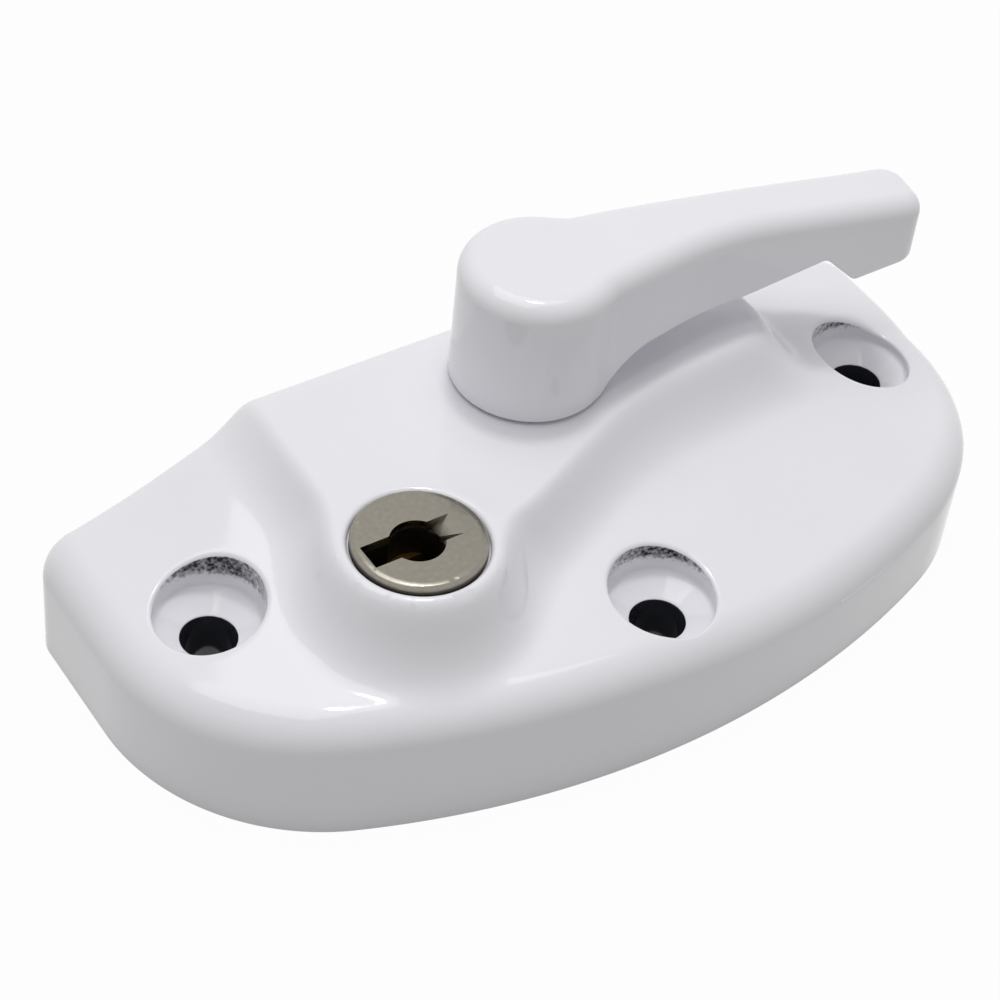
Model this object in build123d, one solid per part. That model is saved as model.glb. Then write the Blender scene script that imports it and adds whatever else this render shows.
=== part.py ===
"""Keyed fitch catch for a sliding sash window: a die-cast base, a lever that turns a tongue out of its
back edge, and a wafer cylinder whose bolt locks the tongue.

Millimetres. X runs along the straight back edge, Y to the back, Z up. The origin is on the lever's
axis, at the level of the base face.
"""
from build123d import *
import math
import os

os.makedirs("parts", exist_ok=True)

# Base outline seen from above: a D with a straight back and a bowed front
base_half_width = 44.0
back_y = 9.8
front_y = -29.5
front_arc_r = 85.0
front_corner_r = 21.0
back_corner_r = 3.4
wall = 2.7

# Heights of the top of the base
plateau_z = 20.0
plateau_half_width = 22.0
end_rim_z = 11.3
front_rim_z = 12.2
rim_slope = 0.22
rim_curve = 0.0095
edge_round = 3.1
edge_round_drop = 2.4
land_blend = 2.0
nose_blend = 4.0
plateau_blend = 1.5

# The dish in front: part of a large circle, with a soft crease where it meets the right-hand ramp
dish_r = 58.5
dish_x = 29.0
dish_y = -60.0
crease_drop = 0.9
crease_width = 5.5
crease_start_x = 16.0
crease_end_x = 26.0

# Fixing screw holes
hole_x = 35.0
hole_y = -6.0
front_hole_y = -22.6
hole_r = 2.45
hole_floor_z = 9.2
recess_r = 4.8
recess_wall_z = 10.4
hole_boss_r = 6.6

# Key cylinder
key_x = -19.5
key_y = -13.5
nose_r = 7.6
nose_slope = 2.2
key_boss_r = 8.0
key_boss_z = 8.1
plug_r = 5.2
plug_head_r = 5.65
plug_seat_z = 19.3
plug_top_z = 20.9
plug_low_z = 6.7
plug_head_round = 0.5
plug_ring_gap = 0.35
running_gap = 0.05
keyway_half_width = 1.3
keyway_left = 5.0
keyway_right = 3.6
keyway_wall = 0.9
keyway_ramp = 1.8
keyway_ramp_depth = 1.5
keyway_spine_r = 2.4
keyway_spine_x = -0.35
keyway_spine_y = -0.25
keyway_low_z = 9.0
crank_r = 2.2
crank_pin_r = 1.1
crank_pin_z = 4.3
clip_t = 0.6
clip_r = 6.3
clip_groove_r = 4.4
clip_gap_angle = 70.0

# Wafers in the plug
wafer_count = 4
wafer_first_z = 10.3
wafer_pitch = 1.9
wafer_t = 1.3
wafer_half_width = 3.3
wafer_gap = 0.05
wafer_travel = 0.45
wafer_window_x = 4.4
wafer_window_y = 1.4
wafer_pocket_y = 1.95
spring_r = 0.55
spring_wire_r = 0.16
spring_y = 2.6
spring_pitch = 0.64
spring_length = 3.4
spring_post = 0.6
spring_end_gap = 0.01

# Lever with its spindle. Seen from above, its near side leaves the boss, narrows to a waist and widens
# again; seen from the side, its underside flares from the boss, then arches up for a finger.
lever_low_z = 20.3
lever_top_z = 33.0
lever_boss_r = 7.0
lever_near_start = 1.0
lever_near_x = 9.0
lever_near_y = -4.95
lever_near_slope = 0.178
lever_waist_x = 26.5
lever_waist_y = -4.5
lever_waist_slope = 0.154
lever_waist_blend = 1.8
lever_boss_blend = 0.5
lever_far_x = 5.2
lever_far_slope = 0.085
lever_far_curve = 0.0014
lever_far_corner_r = 5.0
lever_tip_x = 40.15
lever_tip_turn = 8.8
lever_tip_far_r = 2.4
lever_tip_near_r = 2.1
lever_ridge_x = 28.0
lever_ridge_z = 31.0
lever_ridge_slope = 0.09
lever_ridge_blend = 0.4
lever_under_z = 23.4
lever_flare_r = 4.0
lever_arch_start = 21.3
lever_arch_x = 29.15
lever_arch_z = 25.5
lever_lip_x = 32.5
lever_lip_z = 22.25
lever_lip_slope = 0.19
lever_arch_r = 12.0
lever_arch_top_r = 1.0
lever_lip_r = 0.5
lever_round = 1.9
journal_r = 4.0
spindle_boss_r = 7.2
spindle_boss_z = 9.0
square = 5.6
square_corner_r = 0.5

# Washers and screw on the spindle
thrust_washer_r = 6.1
thrust_washer_t = 1.0
thrust_seat_gap = 0.1
cam_low_z = 3.7
cam_t = 4.3
cone_washer_r = 6.9
cone_washer_t = 0.5
cone_washer_gap = 0.2
end_washer_r = 5.0
end_washer_t = 0.8
cam_screw_r = 2.0
cam_screw_head_r = 3.5
cam_screw_head_t = 1.8
cam_screw_length = 9.5

# Tongue
hub_r = 8.0
tongue_r = 17.5
tongue_lead_r = 15.8
tongue_half_angle = 22.0
tongue_plate_t = 2.2
tongue_lip_t = 2.2
tongue_neck_r = 11.0
handle_travel = 110.0
stop_r = 1.8
stop_radius = 14.5
stop_gap = 0.2
cam_slot_gap = 0.5
spindle_fit_gap = 0.03

# Lock bolt, its cover and screws
bolt_t = 2.2
bolt_low_z = 4.2
bolt_half_width = 4.6
bolt_nose_half_width = 2.0
bolt_nose_start = 6.2
bolt_tail = 4.8
bolt_corner_r = 0.6
bolt_stand_off = 0.3
bolt_side_gap = 0.1
bolt_pin_gap = 0.15
notch_gap = 0.25
rail_t = 2.0
rail_start = 9.7
rail_end = 14.8
cover_t = 1.2
cover_half_width = 5.0
cover_gap = 0.2
ear_s = 10.6
ear_t = 7.2
ear_half = 2.7
post_r = 2.6
cover_screw_r = 1.2
cover_screw_head_r = 2.1
cover_screw_head_t = 1.2
cover_screw_length = 6.0

# Values worked out from the dimensions above
front_arc_y = front_y + front_arc_r
corner_x = base_half_width - front_corner_r
corner_y = front_arc_y - math.sqrt((front_arc_r - front_corner_r) ** 2 - corner_x ** 2)
ramp_run = base_half_width - 1.5 - plateau_half_width
key_distance = math.hypot(key_x, key_y)
bolt_angle = math.degrees(math.atan2(-key_y, -key_x))
bolt_travel = 2 * crank_r * math.sin(math.radians(45))
pin_rest = crank_r * math.sin(math.radians(45))
bolt_tip = key_distance - hub_r - bolt_stand_off
notch_floor_r = hub_r + bolt_stand_off - bolt_travel - notch_gap
bore_r = plug_r + running_gap
head_bore_r = plug_head_r + plug_ring_gap
cam_top_z = cam_low_z + cam_t
cover_top_z = bolt_low_z - cover_gap
cover_low_z = cover_top_z - cover_t
end_washer_z = cam_low_z - end_washer_t
clip_top_z = key_boss_z - running_gap
stop_angle = 90 - tongue_half_angle - handle_travel
stop_angle -= math.degrees(math.asin((stop_r + stop_gap) / stop_radius))
wafer_levels = [wafer_first_z + wafer_pitch * i for i in range(wafer_count)]
at_key = Pos(key_x, key_y, 0)
along_bolt = at_key * Rot(0, 0, bolt_angle)
hole_places = [(-hole_x, hole_y), (0, front_hole_y), (hole_x, hole_y)]


def cylinder(r, low, high, x=0.0, y=0.0):
    """An upright cylinder between two levels."""
    return Pos(x, y, (low + high) / 2) * Cylinder(r, high - low)


def block(x0, x1, y0, y1, z0, z1):
    """A box between two corners."""
    return Pos((x0 + x1) / 2, (y0 + y1) / 2, (z0 + z1) / 2) * Box(x1 - x0, y1 - y0, z1 - z0)


def soft_min(a, b, k):
    """The lower of two heights, blended where they differ by less than k."""
    h = max(k - abs(a - b), 0) / k
    return min(a, b) - h * h * k / 4


def rise(t):
    """How far the top has risen t mm in from the rim: a straight slope that steepens."""
    return rim_slope * t + rim_curve * t * abs(t)


def edge_distance(x, y):
    """How far inside the base outline a point lies."""
    x = abs(x)
    side = base_half_width - x
    back = back_y - y
    to_front = front_arc_r - math.hypot(x, y - front_arc_y)
    corner = front_corner_r - math.hypot(x - corner_x, y - corner_y)
    round_corner = math.atan2(x, front_arc_y - y) > math.atan2(corner_x, front_arc_y - corner_y)
    if y < corner_y:
        return corner if round_corner else to_front
    if side < back_corner_r and back < back_corner_r:
        return back_corner_r - math.hypot(back_corner_r - side, back_corner_r - back)
    return min(side, back, max(to_front, corner))


def top_height(x, y):
    """The height of the casting's top: the plateau, its two ramps, the dish, the front rim and the
    round nose about the key, blended into each other, less the rounding along the outline."""
    into_dish = dish_r - math.hypot(x - dish_x, y - dish_y)
    crease = 1.0 if into_dish > 0 else max(1 + into_dish / crease_width, 0) ** 2
    crease *= min(max((x - crease_start_x) / (crease_end_x - crease_start_x), 0), 1)
    ramp = end_rim_z + rise(ramp_run + plateau_half_width - abs(x)) - crease_drop * crease
    dish = end_rim_z + rise(ramp_run - into_dish)
    front = front_rim_z + rise(front_arc_r - math.hypot(x, y - front_arc_y))
    land = soft_min(soft_min(ramp, dish, land_blend), front, land_blend)
    nose = plateau_z - nose_slope * (math.hypot(x - key_x, y - key_y) - nose_r)
    top = soft_min(-soft_min(-land, -nose, nose_blend), plateau_z, plateau_blend)
    short = max(edge_round - edge_distance(x, y), 0) / edge_round
    past = max(short - 1, 0)
    return top - edge_round_drop * (min(short, 1) ** 2 + 2 * past / (1 + past))


def below_top():
    """Everything under the casting's top surface."""
    margin = 3.0
    step = 1.0
    columns = math.ceil(2 * (base_half_width + margin) / step)
    rows = math.ceil((back_y - front_y + 2 * margin) / step)
    xs = [-base_half_width - margin + step * i for i in range(columns + 1)]
    ys = [front_y - margin + step * j for j in range(rows + 1)]
    points = [[(x, y, top_height(x, y)) for x in xs] for y in ys]
    surface = Face.make_surface_from_array_of_points(points, tol=0.02)
    return Solid.extrude(surface, Vector(0, 0, -2 * plateau_z))


def base_prism(inset, low, high):
    """The base outline, drawn in by inset, between two levels."""
    depth = back_y - front_y
    slab = Pos(0, back_y - inset - depth, 0) * Rectangle(2 * (base_half_width - inset), 2 * depth)
    bow = Pos(0, front_arc_y, 0) * Circle(front_arc_r - inset)
    prism = Pos(0, 0, low) * extrude(slab & bow, high - low)
    uprights = prism.edges().filter_by(Axis.Z)
    prism = fillet([e for e in uprights if e.center().Y < 0], front_corner_r - inset)
    uprights = prism.edges().filter_by(Axis.Z)
    return fillet([e for e in uprights if e.center().Y > back_y - inset - 0.01], back_corner_r - inset)


def ring(outer, inner, low, high):
    """A flat ring between two levels."""
    return cylinder(outer, low, high) - cylinder(inner, low - 1, high + 1)


def screw(head_r, head_t, shank_r, length, low):
    """A pan-head screw pointing up, with a cross recess in the head that starts at level low."""
    seat = low + head_t
    shank = chamfer(cylinder(shank_r, seat, seat + length).edges().group_by(Axis.Z)[-1], shank_r * 0.3)
    head = fillet(cylinder(head_r, low, seat).edges().group_by(Axis.Z)[0], head_t * 0.35)
    for turn in (0, 90):
        head -= Rot(0, 0, turn) * block(-head_r * 0.6, head_r * 0.6, -head_r * 0.12, head_r * 0.12,
                                        low - 1, low + head_t * 0.55)
    return head + shank


def make_body():
    """The base casting: an even-walled shell with its bosses, posts, rails and stop."""
    under = below_top()
    cavity = base_prism(wall, -1, plateau_z) & (Pos(0, 0, -wall) * under)
    for x, y in hole_places:
        cavity -= cylinder(hole_boss_r, -2, plateau_z, x, y)
    cavity -= cylinder(key_boss_r, key_boss_z, plateau_z, key_x, key_y)
    cavity -= cylinder(spindle_boss_r, spindle_boss_z, plateau_z)
    cavity -= Rot(0, 0, stop_angle) * cylinder(stop_r, cam_low_z, plateau_z, stop_radius)
    for side in (-1, 1):
        rail_y = side * (bolt_nose_half_width + bolt_side_gap + rail_t / 2)
        rail = block(rail_start, rail_end, -rail_t / 2, rail_t / 2, cover_top_z, plateau_z)
        cavity -= along_bolt * Pos(0, rail_y, 0) * rail
        cavity -= along_bolt * cylinder(post_r, cover_top_z, plateau_z, ear_s, side * ear_t)
    body = (base_prism(0, 0, 2 * plateau_z) & under) - cavity

    for x, y in hole_places:
        body -= cylinder(hole_r, -1, plateau_z, x, y)
        body -= Pos(x, y, (hole_floor_z + recess_wall_z) / 2) * Cone(
            hole_r, recess_r, recess_wall_z - hole_floor_z)
        body -= cylinder(recess_r, recess_wall_z, plateau_z, x, y)

    body -= at_key * cylinder(bore_r, -1, plateau_z + 1)
    body -= at_key * cylinder(head_bore_r, plug_seat_z, plateau_z + 1)
    groove_r = plug_r + wafer_travel + running_gap
    groove_y = wafer_half_width + running_gap
    groove_top_z = wafer_levels[-1] + wafer_t
    for turn in (0, 90):
        groove = block(-groove_r, groove_r, -groove_y, groove_y, key_boss_z - 1, groove_top_z)
        body -= at_key * Rot(0, 0, turn) * groove

    body -= cylinder(journal_r + running_gap, spindle_boss_z - 1, plateau_z + 1)
    body -= cylinder(thrust_washer_r + thrust_seat_gap, lever_low_z - thrust_washer_t, plateau_z + 1)
    slot_x0 = -back_y * math.tan(math.radians(tongue_half_angle)) - stop_gap
    slot_x1 = math.sqrt(tongue_r ** 2 - (back_y - wall) ** 2) + cam_slot_gap
    body -= block(slot_x0, slot_x1, back_y - wall - 1, back_y + 1,
                  cam_low_z - cam_slot_gap, cam_top_z + cam_slot_gap)
    for side in (-1, 1):
        body -= along_bolt * cylinder(cover_screw_r, 0, cover_low_z + cover_screw_length + cover_gap,
                                      ear_s, side * ear_t)
    return body


def lever_near_side(x):
    """The lever's near side: the boss's circle, blended into an arm that narrows, then widens."""
    narrows = lever_near_y + lever_near_slope * (x - lever_near_x)
    widens = lever_waist_y - lever_waist_slope * (x - lever_waist_x)
    circle = -math.sqrt(max(lever_boss_r ** 2 - x * x, 0))
    return soft_min(circle, soft_min(narrows, widens, lever_waist_blend), lever_boss_blend)


def lever_far_side(x):
    """The lever's far side: from the boss's circle, a slope that steepens gently."""
    past = x - lever_far_x
    start = math.sqrt(lever_boss_r ** 2 - lever_far_x ** 2)
    return start - lever_far_slope * past - lever_far_curve * past ** 2


def lever_ridge(x):
    """The height of the lever's top: level over the boss, blended into the arm's slope."""
    return soft_min(lever_top_z, lever_ridge_z - lever_ridge_slope * (x - lever_ridge_x),
                    lever_ridge_blend)


def spaced(start, end, count):
    """Evenly spaced places from start to end."""
    return [start + (end - start) * i / count for i in range(count + 1)]


def make_lever():
    """The lever: a round boss, a waisted arm with an arched underside and a lip, and the spindle."""
    tip_width = lever_far_side(lever_tip_x) - lever_near_side(lever_tip_x)
    near_tip_x = lever_tip_x - tip_width * math.sin(math.radians(lever_tip_turn))
    near = Spline([(x, lever_near_side(x)) for x in spaced(lever_near_start, near_tip_x, 24)])
    far = Spline([(x, lever_far_side(x)) for x in spaced(lever_far_x, lever_tip_x, 6)])
    boss = ThreePointArc(far @ 0, (-lever_boss_r, 0), near @ 0)
    plan = make_face([near, Line(near @ 1, far @ 1), far, boss])
    for corner, r in [(far @ 0, lever_far_corner_r), (far @ 1, lever_tip_far_r),
                      (near @ 1, lever_tip_near_r)]:
        plan = fillet([plan.vertices().sort_by_distance(corner)[0]], r)
    lever = Pos(0, 0, lever_low_z) * extrude(plan, lever_top_z)

    left = -2 * lever_boss_r
    past_tip = lever_tip_x + lever_tip_far_r
    top = Spline([(x, lever_ridge(x)) for x in spaced(left, past_tip, 18)],
                 tangents=[(1, 0), (1, -lever_ridge_slope)])
    tip_z = lever_lip_z + lever_lip_slope * (past_tip - lever_lip_x)
    side = make_face([top, Polyline(
        top @ 1, (past_tip, tip_z), (lever_lip_x, lever_lip_z), (lever_arch_x, lever_arch_z),
        (lever_arch_start, lever_under_z), (left, lever_under_z), top @ 0)])
    for x, z, r in [(lever_arch_start, lever_under_z, lever_arch_r),
                    (lever_arch_x, lever_arch_z, lever_arch_top_r), (lever_lip_x, lever_lip_z, lever_lip_r)]:
        side = fillet([side.vertices().sort_by_distance((x, z, 0))[0]], r)
    profile = Pos(0, -left, 0) * extrude(Plane.XZ * side, -2 * left)
    flare_x = lever_boss_r + lever_flare_r
    flare_z = lever_under_z - lever_flare_r
    foot_x = flare_x - math.sqrt(lever_flare_r ** 2 - (lever_low_z - flare_z) ** 2)
    halfway = lever_flare_r * math.sin(math.radians(45))
    flare = make_face([
        Polyline((flare_x, lever_under_z), (flare_x, lever_under_z + 1), (0, lever_under_z + 1),
                 (0, lever_low_z), (foot_x, lever_low_z)),
        ThreePointArc((foot_x, lever_low_z), (flare_x - halfway, flare_z + halfway),
                      (flare_x, lever_under_z))])
    lever &= profile + revolve(Plane.XZ * flare, Axis.Z)
    rim = [e for e in lever.edges() if abs(e.center().Z - lever_ridge(e.center().X)) < lever_round / 10]
    lever = fillet(rim, lever_round)

    lever += cylinder(journal_r, cam_top_z, lever_low_z + 1)
    shank = extrude(RectangleRounded(square, square, square_corner_r), cam_t - running_gap + 1)
    lever += Pos(0, 0, cam_low_z + running_gap) * shank
    return lever - cylinder(cam_screw_r, 0, end_washer_z + cam_screw_length + 0.5)


def make_cam():
    """The tongue rotor: a hub on the spindle's square, a hooked tongue, and two notches for the bolt."""
    start = math.radians(90 - tongue_half_angle)
    end = math.radians(90 + tongue_half_angle)
    mid_r = (tongue_lead_r + tongue_r) / 2

    def sector(back_off):
        edge = ThreePointArc(
            ((tongue_lead_r - back_off) * math.cos(start), (tongue_lead_r - back_off) * math.sin(start)),
            (0, mid_r - back_off),
            ((tongue_r - back_off) * math.cos(end), (tongue_r - back_off) * math.sin(end)))
        return make_face([edge, Polyline(edge @ 1, (0, 0), edge @ 0)])

    tongue = Pos(0, 0, cam_low_z) * extrude(sector(0), cam_t)
    hook = sector(tongue_lip_t) - Circle(tongue_neck_r)
    tongue -= Pos(0, 0, cam_low_z + tongue_plate_t) * extrude(hook, cam_t)
    cam = cylinder(hub_r, cam_low_z, cam_top_z) + tongue
    notch_y = bolt_nose_half_width + notch_gap
    for turn in (180 + bolt_angle, 180 + bolt_angle + handle_travel):
        cam -= Rot(0, 0, turn) * block(notch_floor_r, hub_r + 1, -notch_y, notch_y, 0, cam_top_z + 1)
    side = square + 2 * spindle_fit_gap
    hole = extrude(RectangleRounded(side, side, square_corner_r), cam_top_z)
    return cam - Pos(0, 0, 1) * hole


def make_cone_washer():
    """The coned spring washer between the hub and the casting's spindle boss."""
    inner = journal_r + cone_washer_gap
    section = make_face(Polyline(
        (inner, spindle_boss_z - cone_washer_t), (inner, spindle_boss_z),
        (cone_washer_r, cam_top_z + cone_washer_t), (cone_washer_r, cam_top_z),
        (inner, spindle_boss_z - cone_washer_t)))
    return revolve(Plane.XZ * section, Axis.Z)


def make_plug():
    """The cylinder plug: a polished head with a winged keyway, slots for the wafers, a groove for its
    clip and a crank pin for the bolt."""
    plug = cylinder(plug_r, plug_low_z, plug_seat_z + 1)
    head = cylinder(plug_head_r, plug_seat_z, plug_top_z)
    plug += fillet(head.edges().group_by(Axis.Z)[-1], plug_head_round)
    wing = block(-keyway_left, keyway_spine_x, -keyway_half_width, keyway_half_width,
                 plug_seat_z, plug_top_z + 1)
    wing += block(-plug_r + keyway_wall, keyway_spine_x, -keyway_half_width, keyway_half_width,
                  keyway_low_z, plug_top_z)
    ramp = make_face(Polyline(
        (0, plug_top_z - keyway_ramp_depth), (keyway_ramp, plug_top_z - keyway_ramp_depth),
        (keyway_right, plug_top_z), (keyway_right, plug_top_z + 1), (0, plug_top_z + 1),
        (0, plug_top_z - keyway_ramp_depth)))
    wing += Pos(0, keyway_half_width, 0) * extrude(Plane.XZ * ramp, 2 * keyway_half_width)
    spine = cylinder(keyway_spine_r, wafer_levels[-1] + wafer_t / 2, plug_top_z + 1,
                     keyway_spine_x, keyway_spine_y)
    plug -= wing
    plug -= spine
    for i, level in enumerate(wafer_levels):
        half_t = wafer_t / 2 + wafer_gap
        half_y = wafer_half_width + wafer_gap
        slot = block(-plug_r - 1, plug_r + 1, -half_y, half_y, level - half_t, level + half_t)
        slot -= block(spring_length / 2, spring_length / 2 + spring_post,
                      wafer_pocket_y + wafer_gap, half_y, 0, plug_top_z)
        plug -= Rot(0, 0, 180 * i) * slot
    plug -= ring(plug_r + 1, clip_groove_r, clip_top_z - clip_t, clip_top_z)
    pin = Rot(0, 0, bolt_angle) * cylinder(crank_pin_r, crank_pin_z, plug_low_z + 1, -pin_rest, pin_rest)
    return at_key * (plug + pin)


def make_clip():
    """The open ring that holds the plug in the housing."""
    clip = ring(clip_r, clip_groove_r, clip_top_z - clip_t, clip_top_z)
    half = math.radians(clip_gap_angle / 2)
    reach = 2 * clip_r
    gap = make_face(Polyline((0, 0), (reach * math.cos(half), -reach * math.sin(half)),
                             (reach * math.cos(half), reach * math.sin(half)), (0, 0)))
    return at_key * (clip - extrude(gap, plateau_z))


def make_wafer(i):
    """One brass wafer: a plate with rounded ends, a window for the key and a notch for its spring."""
    level = wafer_levels[i]
    plate = block(-plug_r, plug_r, -wafer_half_width, wafer_half_width,
                  level - wafer_t / 2, level + wafer_t / 2)
    plate &= cylinder(plug_r, 0, plateau_z)
    plate -= block(-wafer_window_x, wafer_window_x, -wafer_window_y, wafer_window_y, 0, plateau_z)
    notch_end = spring_length / 2 + spring_post + wafer_travel + wafer_gap
    plate -= block(-spring_length / 2, notch_end, wafer_pocket_y, plug_r, 0, plateau_z)
    return at_key * Rot(0, 0, 180 * i) * plate


def make_wafer_spring(i):
    """The small compression spring beside one wafer, from the plug's post to the wafer's notch."""
    height = spring_length - 2 * spring_wire_r - 2 * spring_end_gap
    path = Helix(spring_pitch, height, spring_r - spring_wire_r)
    coil = sweep(Plane(origin=path @ 0, z_dir=path % 0) * Circle(spring_wire_r), path=path, is_frenet=True)
    lying = Pos(-height / 2, spring_y, wafer_levels[i]) * Rot(0, 90, 0) * coil
    return at_key * Rot(0, 0, 180 * i) * lying


def make_bolt():
    """The lock bolt: a flat bar with a nose for the hub's notch and a slot for the crank pin."""
    top_z = bolt_low_z + bolt_t
    bolt = block(-bolt_tail, bolt_nose_start, -bolt_half_width, bolt_half_width, bolt_low_z, top_z)
    bolt += block(0, bolt_tip, -bolt_nose_half_width, bolt_nose_half_width, bolt_low_z, top_z)
    bolt = fillet(bolt.edges().filter_by(Axis.Z), bolt_corner_r)
    reach = crank_pin_r + bolt_pin_gap
    bolt -= block(-pin_rest - reach, -pin_rest + reach, pin_rest - reach, crank_r + reach, 0, plateau_z)
    return along_bolt * bolt


def make_bolt_cover():
    """The plate that carries the bolt, with an ear at each side for its screw."""
    plate = block(-bolt_tail - 1, rail_end, -cover_half_width, cover_half_width, cover_low_z, cover_top_z)
    plate += block(ear_s - ear_half, ear_s + ear_half, -ear_t, ear_t, cover_low_z, cover_top_z)
    for side in (-1, 1):
        plate += cylinder(ear_half, cover_low_z, cover_top_z, ear_s, side * ear_t)
        plate -= cylinder(cover_screw_r, 0, plateau_z, ear_s, side * ear_t)
    return along_bolt * plate


def place_cover_screw(side):
    """One of the two screws that hold the bolt cover to its post."""
    pan = screw(cover_screw_head_r, cover_screw_head_t, cover_screw_r, cover_screw_length,
                cover_low_z - cover_screw_head_t)
    return along_bolt * Pos(ear_s, side * ear_t, 0) * pan


pieces = {
    "body_casting": make_body(),
    "lever": make_lever(),
    "thrust_washer": ring(thrust_washer_r, journal_r + running_gap, lever_low_z - thrust_washer_t,
                          lever_low_z),
    "cone_washer": make_cone_washer(),
    "cam": make_cam(),
    "end_washer": ring(end_washer_r, cam_screw_r, end_washer_z, cam_low_z),
    "cam_screw": screw(cam_screw_head_r, cam_screw_head_t, cam_screw_r, cam_screw_length,
                       end_washer_z - cam_screw_head_t),
    "plug": make_plug(),
    "plug_clip": make_clip(),
    "lock_bolt": make_bolt(),
    "bolt_cover": make_bolt_cover(),
    "cover_screw_1": place_cover_screw(1),
    "cover_screw_2": place_cover_screw(-1),
}
for number in range(wafer_count):
    pieces[f"wafer_{number + 1}"] = make_wafer(number)
    pieces[f"wafer_spring_{number + 1}"] = make_wafer_spring(number)
for name, shape in pieces.items():
    export_step(shape, f"parts/{name}.step")
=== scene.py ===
import math

import bmesh
import bpy
import numpy as np
from mathutils import Matrix
from mathutils.geometry import delaunay_2d_cdt


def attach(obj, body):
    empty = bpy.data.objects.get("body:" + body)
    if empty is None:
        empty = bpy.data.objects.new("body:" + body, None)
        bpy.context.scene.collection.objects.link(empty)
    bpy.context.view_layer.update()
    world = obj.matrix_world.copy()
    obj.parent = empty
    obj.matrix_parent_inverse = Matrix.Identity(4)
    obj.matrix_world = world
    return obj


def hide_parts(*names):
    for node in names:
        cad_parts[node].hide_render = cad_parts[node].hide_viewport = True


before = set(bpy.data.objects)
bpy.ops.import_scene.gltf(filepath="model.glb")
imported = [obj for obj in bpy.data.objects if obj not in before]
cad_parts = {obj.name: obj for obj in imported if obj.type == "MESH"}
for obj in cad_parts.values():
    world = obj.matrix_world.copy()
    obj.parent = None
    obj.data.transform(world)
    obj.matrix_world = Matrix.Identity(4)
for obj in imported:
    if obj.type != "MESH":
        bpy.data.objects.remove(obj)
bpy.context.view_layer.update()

# Base casting
# The real piece is a zinc die casting: a D with a straight back and a bowed front, a raised plateau
# with a ramp to each end, a dish in front of it and a round nose about the key. It is coated with a
# white gloss powder, which rounds every edge and runs thin on the walls of the screw cups. The dark
# in the screw holes is painted shade.

MM = 0.001
HALF_WIDTH = 44.0
BACK_Y = 9.8
FRONT_Y = -29.5
FRONT_ARC_R = 85.0
FRONT_ARC_Y = FRONT_Y + FRONT_ARC_R
CORNER_R = 21.0
CORNER_X = HALF_WIDTH - CORNER_R
CORNER_Y = FRONT_ARC_Y - math.sqrt((FRONT_ARC_R - CORNER_R) ** 2 - CORNER_X ** 2)
BACK_CORNER_R = 3.4
EDGE_ROUND = 3.1
PLATEAU_Z = 20.0
PLATEAU_HALF = 22.0
END_LAND = 1.5
RAMP_RUN = HALF_WIDTH - END_LAND - PLATEAU_HALF

# The land round the plateau rises from its rims by a slope and a curve. The dish is a circle about a
# point in front, and a crease follows its edge up the right ramp.
RIM_Z = 11.5
RAMP_SLOPE, RAMP_CURVE = 0.235, 0.0082
FRONT_RIM_Z = 12.4
FRONT_SLOPE, FRONT_CURVE = 0.08, 0.004
DISH_X, DISH_Y, DISH_R = 29.0, -60.0, 57.8
CREASE_DEPTH, CREASE_FADE = 0.6, 5.5
CREASE_X, CREASE_RUN = 16.0, 10.0

# The plateau's edge: a round nose about the key, a level front beside it that turns into a slant, a
# nearly level one at the right, and two sides. Blends are in mm of height or of distance.
KEY_X, KEY_Y = -19.5, -13.5
NOSE_R = 7.3
SLANT_Y, SLANT = -10.3, 0.45
LEFT_FRONT_Y = -14.9
RIGHT_FRONT_Y, RIGHT_SLANT = -7.6, 0.08
SLANT_LENGTH = 1.1
SIDE_X, SIDE_LEAN = 23.9, 0.06
WALL_RUN, WALL_POWER = 4.6, 2.5
BLEND = {"left": 1.5, "right": 2.0, "side": 4.0, "nose": 3.0,
         "dish": 2.0, "rim": 3.0, "brow": 1.5, "foot": 0.7}


def soft_min(a, b, k):
    """The lower of two heights, blended by a parabola where they differ by less than k."""
    h = np.maximum(k - np.abs(a - b), 0) / k
    return np.minimum(a, b) - h * h * k / 4


def soft_max(a, b, k):
    """The higher of two heights, blended likewise."""
    return -soft_min(-a, -b, k)


def rise(t, slope, curve):
    """Height gained t mm in from the rim: a straight slope that steepens with the square of t."""
    return slope * t + curve * t * np.abs(t)


def off_plateau(x, y):
    """Distance outside the plateau's edge: the nearer of a circle about the key and a field bounded by
    three straight fronts and a side at each end, with a soft blend at each meeting."""
    left = soft_max(SLANT_Y + SLANT * x, LEFT_FRONT_Y + 0 * x, BLEND["left"])
    front = soft_min(left, RIGHT_FRONT_Y + RIGHT_SLANT * x, BLEND["right"])
    side = np.abs(x) - SIDE_X + SIDE_LEAN * y
    field = soft_max((front - y) / SLANT_LENGTH, side, BLEND["side"])
    return soft_min(np.hypot(x - KEY_X, y - KEY_Y) - NOSE_R, field, BLEND["nose"])


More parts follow.
